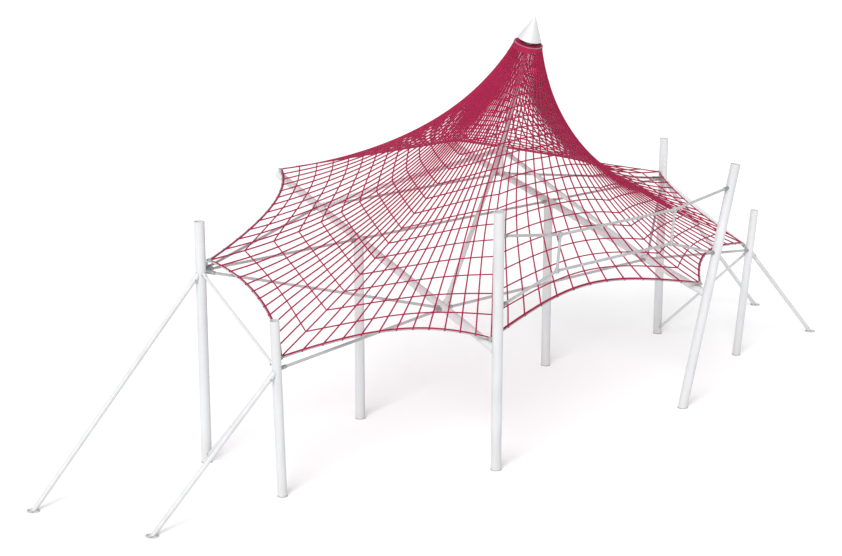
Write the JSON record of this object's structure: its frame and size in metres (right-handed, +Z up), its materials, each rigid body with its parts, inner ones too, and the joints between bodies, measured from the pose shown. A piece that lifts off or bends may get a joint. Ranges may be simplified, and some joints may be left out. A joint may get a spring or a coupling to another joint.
{
  "type": "tensile fabric canopy",
  "caption": "Tensile fabric canopy with one leaning high point, eight corners, steel posts, sloping roof tubes, ties and ground guys.",
  "frame": {"origin": "centre of the structure's plan on the ground, under the middle of its bounding box", "axes": "+X to the right along the row of four upright posts, +Y to the back, towards the raised back edge, +Z up"},
  "size_m": [22.99, 8.3734, 9.0499],
  "materials": {
    "fabric": "matte sheer crimson mesh with round crimson cords",
    "painted_steel": "satin",
    "tie_steel": "satin",
    "cable_steel": "stranded wire",
    "fitting_steel": "galvanised",
    "cap_metal": "satin"
  },
  "bodies": {
    "root": {"back_brace_left": "tie_steel", "back_brace_right": "tie_steel", "back_tie": "tie_steel", "corner_guy_left": "painted_steel", "corner_guy_right": "painted_steel", "corner_plate_back_left": "fitting_steel", "corner_plate_back_right": "fitting_steel", "corner_plate_front_left": "fitting_steel", "corner_plate_front_right": "fitting_steel", "corner_plate_low_left": "fitting_steel", "corner_plate_low_right": "fitting_steel", "corner_plate_side_left": "fitting_steel", "corner_plate_side_right": "fitting_steel", "corner_post_left": "painted_steel", "corner_post_right": "painted_steel", "edge_cable_back": "cable_steel", "edge_cable_back_side_left": "cable_steel", "edge_cable_back_side_right": "cable_steel", "edge_cable_front": "cable_steel", "edge_cable_front_side_left": "cable_steel", "edge_cable_front_side_right": "cable_steel", "edge_cable_side_left": "cable_steel", "edge_cable_side_right": "cable_steel", "front_brace_left": "tie_steel", "front_brace_right": "tie_steel", "front_post_left": "painted_steel", "front_post_right": "painted_steel", "front_tie": "tie_steel", "front_tie_left": "tie_steel", "front_tie_right": "tie_steel", "inner_post_left": "painted_steel", "inner_post_right": "painted_steel", "mast": "painted_steel", "mast_cap": "cap_metal", "mast_leg_back_left": "painted_steel", "mast_leg_back_right": "painted_steel", "mast_leg_front_left": "painted_steel", "mast_leg_front_right": "painted_steel", "membrane": "fabric", "middle_tie": "tie_steel", "middle_tie_left": "tie_steel", "middle_tie_right": "tie_steel", "outer_post_left": "painted_steel", "outer_post_right": "painted_steel", "peak_ring": "fitting_steel", "roof_tube_left": "painted_steel", "roof_tube_right": "painted_steel", "side_diagonal_left": "painted_steel", "side_diagonal_right": "painted_steel", "side_guy_left": "painted_steel", "side_guy_right": "painted_steel", "side_strut_left": "painted_steel", "side_strut_right": "painted_steel", "truss_cable_low": "tie_steel", "truss_cable_top": "tie_steel", "truss_strut_left": "painted_steel", "truss_strut_right": "painted_steel"}
  },
  "joints": []
}
